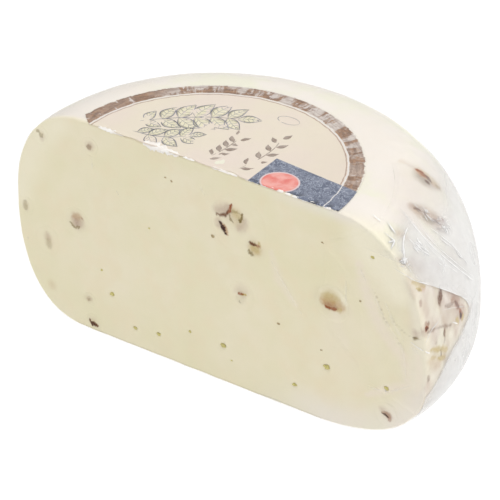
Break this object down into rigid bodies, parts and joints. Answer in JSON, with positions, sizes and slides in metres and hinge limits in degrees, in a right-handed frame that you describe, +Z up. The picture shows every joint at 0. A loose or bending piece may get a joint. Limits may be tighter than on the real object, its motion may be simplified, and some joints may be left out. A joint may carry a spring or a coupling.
{
  "type": "half wheel of walnut caciotta cheese",
  "caption": "Half wheel of pale caciotta with walnut pieces, shrink-wrapped in clear film, cut through its round paper label. Stands on its flat base.",
  "frame": {"origin": "on the floor, below the middle of the half wheel's box", "axes": "+X along the width of the knife's face, to the right as seen from in front, +Y toward the rear of the heel, the knife's face looks to -Y, +Z up"},
  "size_m": [0.18, 0.0962, 0.0849],
  "materials": {
    "cheese": "satin",
    "walnut_flesh": "matte",
    "walnut_skin": "matte",
    "walnut_dull": "matte",
    "label_paper": "matte",
    "film": "gloss"
  },
  "bodies": {
    "root": {"cheese_half": "cheese", "label": "label_paper", "walnut_face_01": "walnut_flesh", "walnut_face_02": "walnut_skin", "walnut_face_03": "walnut_skin", "walnut_face_04": "walnut_flesh", "walnut_face_05": "walnut_skin", "walnut_face_06": "walnut_flesh", "walnut_face_07": "walnut_skin", "walnut_face_08": "walnut_skin", "walnut_face_09": "walnut_dull", "walnut_face_10": "walnut_dull", "walnut_face_11": "walnut_dull", "walnut_face_12": "walnut_dull", "walnut_face_13": "walnut_dull", "walnut_face_14": "walnut_dull", "walnut_heel_01": "walnut_skin", "walnut_heel_02": "walnut_dull", "walnut_heel_03": "walnut_dull", "walnut_heel_04": "walnut_dull", "walnut_heel_05": "walnut_dull", "walnut_heel_06": "walnut_skin", "walnut_heel_07": "walnut_skin", "walnut_heel_08": "walnut_skin", "walnut_heel_09": "walnut_skin", "walnut_heel_10": "walnut_skin", "walnut_heel_11": "walnut_flesh", "walnut_heel_12": "walnut_flesh", "walnut_back_01": "walnut_dull", "walnut_back_02": "walnut_dull", "walnut_back_03": "walnut_dull", "walnut_back_04": "walnut_skin", "walnut_back_05": "walnut_skin", "walnut_back_06": "walnut_skin", "walnut_back_07": "walnut_dull", "walnut_back_08": "walnut_skin", "walnut_back_09": "walnut_dull"}
  },
  "joints": []
}
